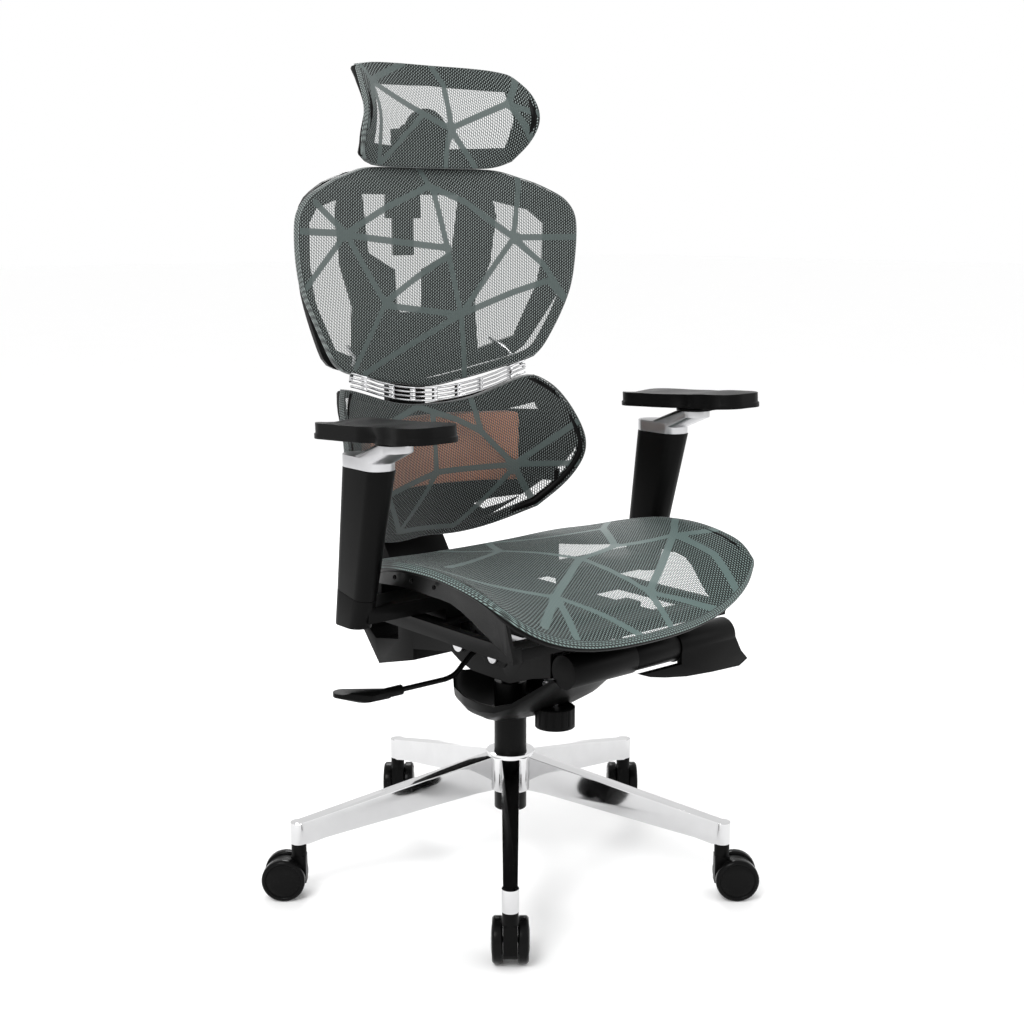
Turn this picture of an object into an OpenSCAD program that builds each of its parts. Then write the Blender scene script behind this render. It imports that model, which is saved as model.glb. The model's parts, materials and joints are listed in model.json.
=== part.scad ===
// High-back mesh gaming chair on a five-star swivel base.
// Millimetres. Origin on the floor under the gas lift, +Z up, the sitter faces -Y.
// Left and right are the sitter's, so the left side is +X.

/* [Base] */
// Radius of the circle on which the caster stems stand
caster_circle_r = 335; // [320:1:350]
// Height of the top of the hub above the floor
hub_top_z = 196; // [190:1:200]
// Diameter of the hub
hub_d = 80; // [74:1:86]
// Height of the underside of the caster sockets
socket_z = 85; // [84:1:90]
// Direction of the leg that points to the front right
first_leg_angle = -130; // [-180:1:180]

/* [Casters] */
// Diameter of a caster wheel
wheel_d = 65; // [60:1:66]
// Width of one wheel of a pair
wheel_w = 17; // [14:0.5:17]
// Width of the hood between the two wheels
hood_w = 20; // [18:0.5:20]
// Distance from the stem to the wheel axle
trail = 22; // [18:1:24]

/* [Gas lift] */
// Diameter of the outer column
column_d = 50; // [48:1:52]
// Diameter of the pressure tube
pressure_tube_d = 28; // [26:1:28]

/* [Seat] */
// Width of the seat over its raised sides
seat_width = 510; // [490:2:516]
// Thickness of the seat and back mesh
mesh_t = 3; // [2:0.5:4]

/* [Back] */
// Width of the upper back at the shoulders
back_width = 532; // [500:2:560]
// Width of the headrest over its forward wings
headrest_width = 324; // [300:2:340]

/* [Arms] */
// Distance from the centre plane to the arm posts
arm_x = 285; // [283:1:292]
// Forward lean of the arm posts
arm_lean = 10.6; // [9:0.1:11]
// Length of an arm pad
pad_len = 246; // [236:1:256]
// Width of an arm pad
pad_w = 97; // [90:1:100]

/* [Hidden] */
$fn = 64;
RUN = 0.05;     // radial clearance of a running fit
GAP = 0.4;      // gap between faces that move past each other
leg_angles = [for (k = [0:4]) first_leg_angle + 72 * k];
trail_angles = [50, -40, 50, 50, 140];
column_r = column_d / 2;
tube_r = pressure_tube_d / 2;
rod_r = 5;
hub_low_z = 135;
column_low_z = 103;
column_top_z = 308;
plate_z = 404;          // underside of the seat plate
plate_t = 8;
rail_top_z = 430;
seat_low_z = 430.5;     // underside of the seat frame's cross members
tilt_y = -104;          // front pivot of the seat plate
tilt_z = 390;
axle_y = 60;            // recline axle
axle_z = 362;
axle_r = 8;
barrel_y = -180;        // cross barrel at the front of the mechanism
barrel_z = 371;
barrel_r = 25;
barrel_x0 = -52;
barrel_x1 = 75;
barrel_x2 = 166;
barrel_x3 = 285;
lever_y = -20;
lever_z = 376;
wall_in = 46;           // mechanism side walls, inner and outer faces
wall_out = 52;
post_foot = [arm_x, -5, 492];
post_top_z = 674;
post_top_y = post_foot[1] - (post_top_z - post_foot[2]) * tan(arm_lean);
pad_pivot = [arm_x + 2, -105];
pad_low_z = 719;
pad_h = 27;
lumbar_pin = [266, 640];   // Y and Z of the lumbar pivot
head_pin = [225, 1140];    // Y and Z of the headrest pivot

// ---- curves and surfaces ----------------------------------------------------------------

function unit(v) = v / norm(v);
function mix(a, b, t) = a + (b - a) * t;
function mirrored(p) = [-p[0], p[1], p[2]];
function widened(P, f) = [for (p = P) [p[0] * f, p[1], p[2]]];

// Smooth curve through the points P, with n steps between neighbours
function blend(a, b, c, d, t) = 0.5 * (2 * b + (c - a) * t + (2 * a - 5 * b + 4 * c - d) * t * t
    + (3 * b - a - 3 * c + d) * t * t * t);
function smooth(P, n) = concat([for (i = [0:len(P) - 2]) for (k = [0:n - 1])
    blend(P[max(i - 1, 0)], P[i], P[i + 1], P[min(i + 2, len(P) - 1)], k / n)], [P[len(P) - 1]]);
function lengths(P) = [for (i = 0, s = 0; i < len(P);
    s = i + 1 < len(P) ? s + norm(P[i + 1] - P[i]) : s, i = i + 1) s];
function at_length(P, S, d) = let (k = min(len(P) - 2, len([for (s = S) if (s <= d) 1]) - 1))
    mix(P[k], P[k + 1], (d - S[k]) / (S[k + 1] - S[k]));
// The smooth curve again, as n equal steps along its length
function evenly(P, n) = let (Q = smooth(P, 6), S = lengths(Q))
    [for (i = [0:n]) at_length(Q, S, S[len(S) - 1] * i / n)];
// A whole edge from its right half, which runs from the centre plane to +X
function across(half, n) = evenly(concat([for (i = [len(half) - 1:-1:1]) mirrored(half[i])], half), n);

// Grid of points stretched between a low edge, a high edge and the two sides
function stretched(low, high, side, n, m, e, bulge) =
    let (B = across(low, n), T = across(high, n), R = evenly(side, m), L = [for (p = R) mirrored(p)])
    [for (j = [0:m]) [for (i = [0:n]) let (u = i / n, s = j / m, f = pow(1 - s, e), g = 1 - f)
        f * B[i] + g * T[i] + (1 - u) * L[j] + u * R[j]
        - f * ((1 - u) * B[0] + u * B[n]) - g * ((1 - u) * T[0] + u * T[n])
        + bulge * sin(180 * u) * sin(180 * s)]];
function moved(grid, v) = [for (row = grid) [for (p = row) p + v]];
// Closed loop round the edge of a grid
function edge_of(G) = let (m = len(G) - 1, n = len(G[0]) - 1)
    concat(G[0], [for (j = [1:m]) G[j][n]], [for (i = [n - 1:-1:0]) G[m][i]],
        [for (j = [m - 1:-1:1]) G[j][0]]);

// Closed solid between two grids of the same size
module slab(A, B) {
    rows = len(A);
    cols = len(A[0]);
    function id(j, i, k) = (k * rows + j) * cols + i;
    function two(a, b, c, d) = [[a, b, c], [a, c, d]];
    polyhedron(concat([for (r = A) each r], [for (r = B) each r]), concat(
        [for (j = [0:rows - 2]) for (i = [0:cols - 2]) each
            two(id(j, i, 0), id(j + 1, i, 0), id(j + 1, i + 1, 0), id(j, i + 1, 0))],
        [for (j = [0:rows - 2]) for (i = [0:cols - 2]) each
            two(id(j, i, 1), id(j, i + 1, 1), id(j + 1, i + 1, 1), id(j + 1, i, 1))],
        [for (j = [0:rows - 2]) each
            two(id(j + 1, 0, 0), id(j, 0, 0), id(j, 0, 1), id(j + 1, 0, 1))],
        [for (j = [0:rows - 2]) each two(id(j, cols - 1, 0), id(j + 1, cols - 1, 0),
            id(j + 1, cols - 1, 1), id(j, cols - 1, 1))],
        [for (i = [0:cols - 2]) each two(id(0, i, 0), id(0, i + 1, 0), id(0, i + 1, 1), id(0, i, 1))],
        [for (i = [0:cols - 2]) each two(id(rows - 1, i + 1, 0), id(rows - 1, i, 0),
            id(rows - 1, i, 1), id(rows - 1, i + 1, 1))]), convexity = 8);
}

// Sweeps a profile of [inboard, behind] points along a path; up points behind
module sweep(path, profile, up, closed = false) {
    n = len(path);
    k = len(profile);
    points = [for (i = [0:n - 1]) let (
        a = closed ? path[(i + n - 1) % n] : path[max(i - 1, 0)],
        b = closed ? path[(i + 1) % n] : path[min(i + 1, n - 1)],
        t = unit(b - a), side = unit(cross(t, up)), top = cross(side, t))
        each [for (p = profile) path[i] + p[0] * side + p[1] * top]];
    spans = closed ? n - 1 : n - 2;
    skin = [for (i = [0:spans]) for (j = [0:k - 1]) let (
        a = i * k + j, b = i * k + (j + 1) % k, c = ((i + 1) % n) * k + (j + 1) % k,
        d = ((i + 1) % n) * k + j) each [[a, b, c], [a, c, d]]];
    ends = closed ? [] : [[for (j = [k - 1:-1:0]) j], [for (j = [0:k - 1]) (n - 1) * k + j]];
    polyhedron(points, concat(skin, ends), convexity = 10);
}
function ring(r, sides) = [for (a = [0:360 / sides:359]) r * [cos(a), sin(a)]];
// Rectangle with cut corners from (x0, y0) to (x1, y1)
function bar_profile(x0, y0, x1, y1, c) = [[x0 + c, y0], [x1 - c, y0], [x1, y0 + c], [x1, y1 - c],
    [x1 - c, y1], [x0 + c, y1], [x0, y1 - c], [x0, y0 + c]];

// Flat outline drawn in Y and Z, made w wide and centred on the centre plane
module side_cut(w) { rotate([90, 0, 90]) linear_extrude(w, center = true) children(); }
// Flat outline drawn in X and Z, made thick from y0 to y1
module front_cut(y0, y1) { translate([0, y1, 0]) rotate([90, 0, 0]) linear_extrude(y1 - y0) children(); }
module along_x(x0, x1, y, z, r) { translate([x0, y, z]) rotate([0, 90, 0]) cylinder(h = x1 - x0, r = r); }
module block(a, b) { translate(a) cube(b - a); }
module both_sides() { children(); mirror([1, 0, 0]) children(); }
module stadium(len, w) {
    square([w, len - w], center = true);
    for (s = [-1, 1]) translate([0, s * (len - w) / 2]) circle(d = w);
}

// ---- base, casters and gas lift -----------------------------------------------------------

leg_profile = [[30, 137], [60, 134], [caster_circle_r - 40, 92], [caster_circle_r - 14, socket_z],
    [caster_circle_r, socket_z], [caster_circle_r, socket_z + 33], [30, 191]];
leg_hollow = [[36, 120], [60, 128], [caster_circle_r - 40, 86], [caster_circle_r - 40, 108],
    [60, 160], [36, 168]];

module leg() {
    tip = caster_circle_r;
    difference() {
        intersection() {
            rotate([90, 0, 0]) linear_extrude(60, center = true) polygon(leg_profile);
            linear_extrude(300) polygon([[20, -14], [tip, -10], [tip, 10], [20, 14]]);
        }
        intersection() {
            rotate([90, 0, 0]) linear_extrude(60, center = true) polygon(leg_hollow);
            linear_extrude(300) polygon([[20, -9], [tip, -5], [tip, 5], [20, 9]]);
        }
    }
    translate([tip, 0, socket_z]) cylinder(h = 33, r = 12);
}

module star_base() {
    color("silver") difference() {
        union() {
            translate([0, 0, hub_low_z]) cylinder(h = hub_top_z - hub_low_z, d = hub_d - 14);
            translate([0, 0, hub_top_z - 8]) cylinder(h = 8, d = hub_d - 6);
            for (a = leg_angles) rotate(a) leg();
            for (a = leg_angles) rotate(a + 36) translate([hub_d / 2 - 11, 0, hub_low_z + 4])
                cylinder(h = hub_top_z - hub_low_z - 8, r = 11);
        }
        translate([0, 0, 80]) cylinder(h = 140, r = column_r + RUN);
        for (a = leg_angles) rotate(a) translate([caster_circle_r, 0, socket_z - 1])
            cylinder(h = 29, r = 5.5 + RUN);
    }
}

module at_caster(k) {
    rotate(leg_angles[k - 1]) translate([caster_circle_r, 0, 0])
        rotate(trail_angles[k - 1] - leg_angles[k - 1]) children();
}

// Hood with its collar, the steel stem and the steel axle, as three solids
module caster_fork(k) {
    r = wheel_d / 2;
    at_caster(k) color([0.09, 0.09, 0.1]) {
        difference() {
            union() {
                rotate([90, 0, 0]) linear_extrude(hood_w, center = true) difference() {
                    union() {
                        translate([trail, r]) circle(r = r - 3.5);
                        translate([-11, 24]) square([22, 42]);
                    }
                    translate([-60, -10]) square([160, 24]);
                    translate([trail + 18, -10]) square([60, 42]);
                }
                translate([0, 0, wheel_d + 0.5]) cylinder(h = socket_z - wheel_d - 1, r = 11.3);
            }
            translate([0, 0, 40]) cylinder(h = 60, r = 5.5 + 0.02);
            translate([trail, 0, r]) rotate([90, 0, 0]) cylinder(h = 60, r = 4.02, center = true);
        }
        translate([0, 0, 40.2]) cylinder(h = 71, r = 5.5);
        translate([trail, 0, r]) rotate([90, 0, 0]) cylinder(h = hood_w + 2 * wheel_w - 8, r = 4,
            center = true);
    }
}

// Wheel with a domed outer disc, a recessed rim and a rubber tread; side is 1 or -1
module caster_wheel(k, side) {
    r = wheel_d / 2;
    at_caster(k) translate([trail, 0, r]) rotate([-90 * side, 0, 0])
        translate([0, 0, hood_w / 2 + GAP]) color([0.05, 0.05, 0.06]) difference() {
            rotate_extrude() polygon([[0, 0], [r - 2, 0], [r, 2], [r, wheel_w - 5],
                [r - 3, wheel_w - 2], [r - 6, wheel_w - 2], [r - 7, wheel_w - 4], [r - 10, wheel_w - 2],
                [14, wheel_w - 0.6], [0, wheel_w - GAP]]);
            translate([0, 0, -1]) cylinder(h = wheel_w - 2, r = 4 + RUN);
        }
}

module gas_lift_column() {
    color([0.07, 0.07, 0.08]) translate([0, 0, column_low_z]) difference() {
        cylinder(h = column_top_z - column_low_z, r = column_r - 0.02);
        translate([0, 0, 4]) cylinder(h = 150, r = column_r - 2);
        translate([0, 0, 120]) cylinder(h = 120, r = tube_r + RUN);
        translate([0, 0, -1]) cylinder(h = 10, r = rod_r + RUN);
    }
}
module lift_thrust_bearing() {
    color("gray") translate([0, 0, column_low_z + 4.2]) difference() {
        cylinder(h = 6, r = 11);
        translate([0, 0, -1]) cylinder(h = 8, r = rod_r + RUN);
    }
}
module gas_piston_rod() {
    color("silver") {
        translate([0, 0, 98]) cylinder(h = 154, r = rod_r);
        translate([0, 0, 98]) cylinder(h = column_low_z - 98 - 0.5, r = 9);
        translate([0, 0, column_low_z + 10.6]) cylinder(h = 4, r = 9);
        translate([0, 0, 250]) cylinder(h = 12, r = tube_r - 2 - RUN);
    }
}
module gas_pressure_tube() {
    color([0.2, 0.2, 0.22]) difference() {
        union() {
            translate([0, 0, 150]) cylinder(h = 245, r = tube_r);
            translate([0, 0, 390]) cylinder(h = 8.5, r = 3);
        }
        translate([0, 0, 156]) cylinder(h = 229, r = tube_r - 2);
        translate([0, 0, 149]) cylinder(h = 10, r = rod_r + RUN);
    }
}

// ---- mechanism ----------------------------------------------------------------------------

module mechanism_housing() {
    color([0.1, 0.1, 0.11]) difference() {
        union() {
            both_sides() translate([(wall_in + wall_out) / 2, 0, 0]) side_cut(wall_out - wall_in)
                polygon([[-152, 356], [-152, 394], [-120, 400], [-60, 397], [30, 390], [84, 378],
                    [84, 346], [60, 334], [30, 326], [-60, 326], [-110, 345]]);
            block([-wall_in - 1, -60, 326], [wall_in + 1, 30, 332]);
            block([-wall_in - 1, -128, 370], [wall_in + 1, -80, 376]);
            block([-wall_in - 1, -152, 356], [wall_in + 1, -140, 388]);
            translate([0, 0, 318]) cylinder(h = 76, r = 23);
        }
        translate([0, 0, 300]) cylinder(h = 110, r = tube_r + RUN);
        along_x(-80, 80, axle_y, axle_z, axle_r + 0.02);
        along_x(-80, 80, tilt_y, tilt_z, 6.02);
        along_x(-80, -30, lever_y, lever_z, 10.2);
        translate([0, tilt_y, 340]) cylinder(h = 60, r = 5 + RUN);
    }
}

// Boat-shaped lower cover: [Y, half width, middle X, bottom, rim] of each cross section
cover_sections = [[84, 34, 0, 304, 313], [70, 58, 0, 284, 308], [40, 80, 0, 264, 303],
    [0, 92, 0, 256, 300], [-40, 96, 0, 258, 300], [-75, 96, 0, 272, 303], [-105, 90, 3, 292, 313],
    [-135, 78, 7, 316, 336], [-160, 67, 11, 341, 356], [-175, 64, 12, 349, 362]];
module mechanism_cover() {
    wall = 4;
    function section(q, t) = [for (a = [180:12:360]) [q[2] + (q[1] - t) * cos(a), q[0],
        q[4] + (q[4] - q[3] - t) * (sin(a) < 0 ? -pow(-sin(a), 0.7) : 0)]];
    outer = [for (q = cover_sections) section(q, 0)];
    inner = [for (q = cover_sections) section(q, wall)];
    filled = [for (j = [0:len(outer) - 1]) [for (p = outer[j]) [p[0], p[1], cover_sections[j][4] + 20]]];
    color([0.08, 0.08, 0.09]) difference() {
        union() {
            difference() {
                slab(outer, inner);
                translate([0, 0, 240]) cylinder(h = 80, r = column_r + 3);
                along_x(barrel_x0 - 60, barrel_x3, barrel_y, barrel_z, barrel_r - 1);
            }
            intersection() {
                slab(outer, filled);
                translate([0, tilt_y, 260]) cylinder(h = 37, r = 35);
            }
            along_x(barrel_x0, barrel_x1, barrel_y, barrel_z, barrel_r);
        }
        translate([0, tilt_y, 240]) cylinder(h = 52.5, r = 31.3);
        translate([0, tilt_y, 270]) cylinder(h = 60, r = 6);
        along_x(barrel_x0 + 6, barrel_x1 - 6, barrel_y, barrel_z, barrel_r - 5);
        along_x(barrel_x0 + 1, barrel_x1 + 1, barrel_y, barrel_z, 5 + RUN);
    }
}
module spring_barrel() {
    color([0.09, 0.09, 0.1]) difference() {
        along_x(barrel_x1 + 0.2, barrel_x2, barrel_y, barrel_z, barrel_r - 2);
        along_x(barrel_x1 + 5, barrel_x2 - 5, barrel_y, barrel_z, barrel_r - 6);
        along_x(barrel_x1 - 1, barrel_x2 + 1, barrel_y, barrel_z, 5 + RUN);
    }
}
module tension_spring() {
    turns = 5;
    low = 310;
    high = 364;
    color("silver") sweep([for (a = [0:20:360 * turns]) [17 * cos(a), tilt_y + 17 * sin(a),
        low + 3 + (high - low - 6) * a / 360 / turns]], ring(2.5, 8), [0, 0, 1]);
}
module tension_bolt() {
    color("silver") {
        translate([0, tilt_y, 275]) cylinder(h = 104, r = 5);
        translate([0, tilt_y, 366]) cylinder(h = 3.6, r = 20);
    }
}
module tension_knob() {
    color([0.1, 0.1, 0.11]) translate([0, tilt_y, 261]) difference() {
        union() {
            cylinder(h = 30, r = 30);
            translate([0, 0, 29]) cylinder(h = 1.5, r = 27);
        }
        for (k = [0:15]) rotate(k * 22.5) translate([32, 0, 6]) cylinder(h = 30, r = 3);
        translate([0, 0, 13]) cylinder(h = 30, r = 5 + RUN);
    }
}

lever_path = [[0, 0, 409], [-14, -6, 409], [-27, -14, 403], [-34, -19, 390], [-41, -20, 378],
    [-49, -20, 376], [-66, -20, 376], [-88, -20, 373], [-104, -20, 362], [-122, -20, 347], [-140, -20, 342],
    [-165, -20, 342], [-238, -20, 342]];
module height_lever_rod() {
    color([0.08, 0.08, 0.09]) {
        sweep(smooth(lever_path, 4), ring(4, 10), [0, 1, 0]);
        translate([-49, lever_y, lever_z]) rotate([90, 0, 0]) cylinder(h = 14, r = 6, center = true);
    }
}
module height_lever_paddle() {
    color([0.1, 0.1, 0.11]) difference() {
        union() {
            along_x(-252, -222, lever_y, 342, 7.5);
            hull() {
                translate([-250, lever_y, 336]) cylinder(h = 11, r = 8, $fn = 32);
                translate([-285, lever_y, 341]) cylinder(h = 8, r = 19, $fn = 32);
                translate([-322, lever_y, 353]) cylinder(h = 6, r = 14, $fn = 32);
            }
        }
        along_x(-240, -210, lever_y, 342, 4.1);
    }
}
module tilt_lock_paddle() {
    color([0.09, 0.09, 0.1]) difference() {
        union() {
            along_x(barrel_x2 + GAP, barrel_x3, barrel_y, barrel_z, barrel_r);
            front_cut(-204, -194) polygon([[81, 347], [100, 340], [132, 333], [177, 326], [235, 322],
                [297, 320], [316, 329], [300, 345], [285, 372], [barrel_x2 + GAP, 372],
                [barrel_x2 + GAP, 347]]);
        }
        along_x(barrel_x2 - 1, barrel_x3 - 10, barrel_y, barrel_z, 5.02);
    }
}
module tilt_lock_shaft() {
    color("silver") along_x(barrel_x0 + 8, barrel_x3 - 12, barrel_y, barrel_z, 5);
}
module recline_axle() {
    color("silver") {
        along_x(-56, 56, axle_y, axle_z, axle_r);
        both_sides() along_x(wall_out + 0.2, 57, axle_y, axle_z, 12);
    }
}
module seat_pivot_shaft() {
    color("silver") {
        along_x(-123, 123, tilt_y, tilt_z, 6);
        both_sides() along_x(118.4, 123, tilt_y, tilt_z, 9);
    }
}

// ---- seat ---------------------------------------------------------------------------------

seat_f = seat_width / 510;
seat_front = widened([[0, -306, 449], [89, -302, 452], [158, -296, 466], [208, -288, 489],
    [238, -273, 513]], seat_f);
seat_rear = widened([[0, 104, 502], [90, 103, 503], [150, 100, 506], [187, 90, 509]], seat_f);
seat_side = widened([[238, -273, 513], [250, -240, 531], [254, -196, 541], [255, -150, 546],
    [255, -110, 546], [252, -65, 543], [242, -25, 536], [231, 10, 528], [215, 50, 517],
    [187, 90, 509]], seat_f);
seat_grid = stretched(seat_front, seat_rear, seat_side, 20, 18, 2.2, [0, 0, -12]);
rim_profile = bar_profile(-1, mesh_t + 0.2, 11, 16, 3);

module seat_mesh() {
    color([0.25, 0.33, 0.31]) slab(seat_grid, moved(seat_grid, [0, 0, -mesh_t]));
}
module seat_plate() {
    w = 150;
    color([0.1, 0.1, 0.11]) difference() {
        union() {
            block([-w, -170, plate_z], [w, 112, plate_z + plate_t]);
            both_sides() translate([115, 0, 0]) side_cut(6) polygon([[-142, plate_z + 1],
                [-124, 378], [-84, 376], [-60, plate_z + 1]]);
        }
        block([-76, -86, plate_z - 1], [76, 100, plate_z + plate_t + 1]);
        along_x(-130, 130, tilt_y, tilt_z, 6 + RUN);
        both_sides() for (y = [-20, 20]) translate([136, y, plate_z - 1]) cylinder(h = 12, r = 3.2);
    }
}
module seat_rails() {
    color("silver") both_sides() difference() {
        block([92, -200, plate_z + plate_t + 0.1], [110, 112, rail_top_z]);
        block([95, -201, plate_z + plate_t + 3], [107, 113, rail_top_z - 3]);
        block([99, -201, rail_top_z - 4], [103, 113, rail_top_z + 1]);
    }
}

// Side skirt between the rim and the slide bar; its lower edge makes the arch
skirt_high = widened([[183, 86, 500], [209, 50, 507], [225, 10, 518], [236, -25, 526],
    [246, -65, 532], [249, -110, 535], [249, -150, 535], [248, -196, 530], [244, -236, 519],
    [234, -266, 502]], seat_f);
skirt_low = widened([[184, 88, 484], [207, 60, 484], [219, 10, 491], [226, -25, 496],
    [233, -65, 500], [234, -110, 499], [231, -150, 496], [223, -178, 480], [215, -204, 460], [208, -232, 442],
    [206, -252, 431]], seat_f);
module seat_frame() {
    n = 18;
    wall = 6;
    high = evenly(skirt_high, n);
    low = evenly(skirt_low, n);
    bar_x = 200 * seat_f;
    color([0.09, 0.09, 0.1]) {
        sweep(edge_of(seat_grid), rim_profile, [0, 0, -1], closed = true);
        both_sides() {
            slab([for (P = [low, high]) [for (p = P) p - [wall, 0, 0]]], [low, high]);
            block([bar_x - 8, -252, 428], [bar_x + 7, 116, 449]);
        }
        block([-bar_x, -250, seat_low_z], [bar_x, -234, 446]);
        block([-116, -165, seat_low_z], [116, -135, 446]);
        block([-bar_x, 98, seat_low_z], [bar_x, 116, 449]);
        both_sides() block([150, 88, 440], [178, 100, 498]);
        difference() {
            block([7 - bar_x, -235, 432], [bar_x - 7, 99, 438]);
            both_sides() {
                block([116, -190, 430], [bar_x - 9, -50, 440]);
                block([117, -38, 430], [155, 90, 440]);
            }
        }
    }
}

// ---- back ---------------------------------------------------------------------------------

back_f = back_width / 532;
back_low = widened([[0, 194, 748], [54, 192, 755], [94, 187, 762], [128, 180, 770], [169, 169, 780],
    [187, 164, 787]], back_f);
back_high = widened([[0, 195, 1082], [60, 192, 1082], [122, 182, 1081], [150, 175, 1074],
    [189, 164, 1063]], back_f);
back_side = widened([[187, 164, 787], [202, 160, 800], [226, 153, 840], [245, 150, 876],
    [257, 150, 905], [264, 150, 945], [266, 149, 985], [263, 149, 1014], [247, 150, 1034],
    [228, 153, 1046], [189, 164, 1063]], back_f);
back_grid = stretched(back_low, back_high, back_side, 20, 18, 1, [0, 0, 0]);
module back_mesh() {
    color([0.13, 0.19, 0.18]) slab(back_grid, moved(back_grid, [0, mesh_t, 0]));
}
module back_frame() {
    color([0.08, 0.08, 0.09]) sweep(edge_of(back_grid), rim_profile, [0, 1, 0], closed = true);
}

// Shell curved round the sitter, cut to the outline and windows of the skeleton
spine_y = 250;
spine_bend_r = 425;
side_window = [[150, 1037], [207, 1022], [229, 1000], [228, 941], [219, 897], [186, 818],
    [124, 797], [119, 874], [145, 936], [155, 1012]];
centre_window = [[-96, 1045], [96, 1045], [90, 1000], [84, 956], [28, 928], [26, 866], [0, 852],
    [-26, 866], [-28, 928], [-84, 956], [-90, 1000]];
module spine_outline() {
    polygon(concat([for (p = edge_of(back_grid)) [p[0] * 0.985, 915 + (p[2] - 915) * 0.985]]));
}
module back_spine() {
    color([0.09, 0.09, 0.1]) {
        difference() {
            intersection() {
                translate([0, spine_y - spine_bend_r, 700]) difference() {
                    cylinder(h = 420, r = spine_bend_r + 7, $fn = 180);
                    translate([0, 0, -1]) cylinder(h = 422, r = spine_bend_r, $fn = 180);
                }
                front_cut(160, 300) spine_outline();
            }
            front_cut(150, 310) {
                polygon(centre_window);
                polygon(side_window);
                mirror([1, 0]) polygon(side_window);
                translate([-20, 781]) square([40, 44]);
            }
            block([-18.2, 255, 950], [18.2, 262, 1090]);
        }
        difference() {
            block([-28, 256.5, 1008], [28, 276, 1070]);
            block([-18.2, 261.8, 1000], [18.2, 272.2, 1080]);
        }
    }
}
module back_bar() {
    color([0.09, 0.09, 0.1]) difference() {
        union() {
            intersection() {
                side_cut(160) difference() {
                    polygon([[axle_y, 378], [130, 374], [196, 372], [222, 404], [222, 456],
                        [256, 505], [259, 612], [259, 860], [274, 860], [277, 612], [300, 470],
                        [337, 327], [292, 276], [195, 303], [195, 322], [axle_y, 346]]);
                    polygon([[236, 330], [300, 318], [318, 330], [300, 400], [250, 400], [236, 380]]);
                }
                front_cut(0, 360) polygon([[-42, 260], [42, 260], [42, 410], [60, 445], [60, 520],
                    [35, 620], [35, 870], [-35, 870], [-35, 620], [-60, 520], [-60, 445], [-42, 410]]);
            }
            along_x(-42, 42, axle_y, axle_z, 20);
        }
        along_x(-80, 80, axle_y, axle_z, axle_r + RUN);
        along_x(-80, 80, lumbar_pin[0], lumbar_pin[1], 4.02);
    }
}
module back_screws() {
    color("silver") {
        for (q = [[800, 275], [845, 274.5]]) for (s = [-1, 1]) translate([s * 26, q[1], q[0]])
            rotate([-90, 0, 0]) cylinder(h = 3, r = 6);
        for (s = [-1, 1]) translate([s * 30, 221.9, 430]) rotate([90, 0, 0]) cylinder(h = 3, r = 7);
    }
}

// Chrome grille: four slats that follow the lower edge of the upper back
module back_grille() {
    slats = 4;
    pitch = 6.5;
    function drop(k) = 1 + pitch * k;
    function slat(k) = across([for (p = [[0, 184, 746], [60, 181, 751], [110, 175, 762],
        [150, 170, 775], [172, 168, 781]]) p - [0, 0, drop(k)]], 24);
    color("silver") {
        for (k = [0:slats - 1]) sweep(slat(k), ring(1.8, 8), [0, 1, 0]);
        for (x = [-138, -92, -46, 0, 46, 92, 138]) {
            high = slat(0)[12 + round(x / 172 * 12)];
            reach = pitch * (slats - 1) + 1;
            translate(high + [-2.5, -1.5, -reach]) cube([5, 8, reach + 1]);
        }
        both_sides() sweep([[172, 168, 767], [150, 190, 800], [140, 222, 815]], ring(3, 8), [0, 0, 1]);
    }
}

lumbar_low = [[0, 214, 503], [54, 206, 501], [110, 180, 513], [160, 122, 545]];
lumbar_high = [[0, 185, 718], [70, 178, 724], [120, 172, 738], [165, 166, 752], [186, 160, 755]];
lumbar_side = [[160, 122, 545], [204, 92, 590], [230, 80, 640], [224, 98, 690], [208, 132, 735],
    [186, 160, 755]];
lumbar_grid = stretched(lumbar_low, lumbar_high, lumbar_side, 20, 14, 1, [0, 26, 0]);
module lumbar_mesh() {
    color([0.13, 0.19, 0.18]) slab(lumbar_grid, moved(lumbar_grid, [0, mesh_t, 0]));
}
// Backing shell behind the pad, a part of a cylinder cut to the outline, with two slots a side
shell_r = 256;
shell_y = -28;          // axis of the shell's cylinder
shell_slot_high = [[126, 695], [160, 704], [182, 712], [188, 694], [160, 686]];
shell_slot_low = [[96, 544], [112, 534], [142, 543], [166, 556], [159, 556], [126, 552]];
module curved(r0, r1, z0, z1) {
    translate([0, shell_y, z0]) difference() {
        cylinder(h = z1 - z0, r = r1, $fn = 120);
        translate([0, 0, -1]) cylinder(h = z1 - z0 + 2, r = r0, $fn = 120);
    }
}
module lumbar_frame() {
    color([0.08, 0.08, 0.09]) {
        sweep(edge_of(lumbar_grid), rim_profile, [0, 1, 0], closed = true);
        for (z = [595, 690]) sweep(across([[0, 233, z], [80, 220, z], [150, 185, z],
            [z == 595 ? 192 : 214, z == 595 ? 106 : 112, z]], 16),
            bar_profile(-10, -4, 10, 4, 2), [0, 1, 0]);
        intersection() {
            curved(shell_r, shell_r + 3, 480, 780);
            front_cut(60, 300) difference() {
                polygon([for (p = edge_of(lumbar_grid)) [p[0] * 0.97, 630 + (p[2] - 630) * 0.97]]);
                both_sides() {
                    polygon(shell_slot_high);
                    polygon(shell_slot_low);
                }
            }
        }
        block([-34, 229.5, 590], [34, 250, 695]);
        both_sides() difference() {
            block([37, 244, 625], [45, 276, 655]);
            along_x(30, 50, lumbar_pin[0], lumbar_pin[1], 4 + RUN);
        }
        both_sides() block([30, 244, 625], [45, 250, 655]);
    }
}
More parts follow.
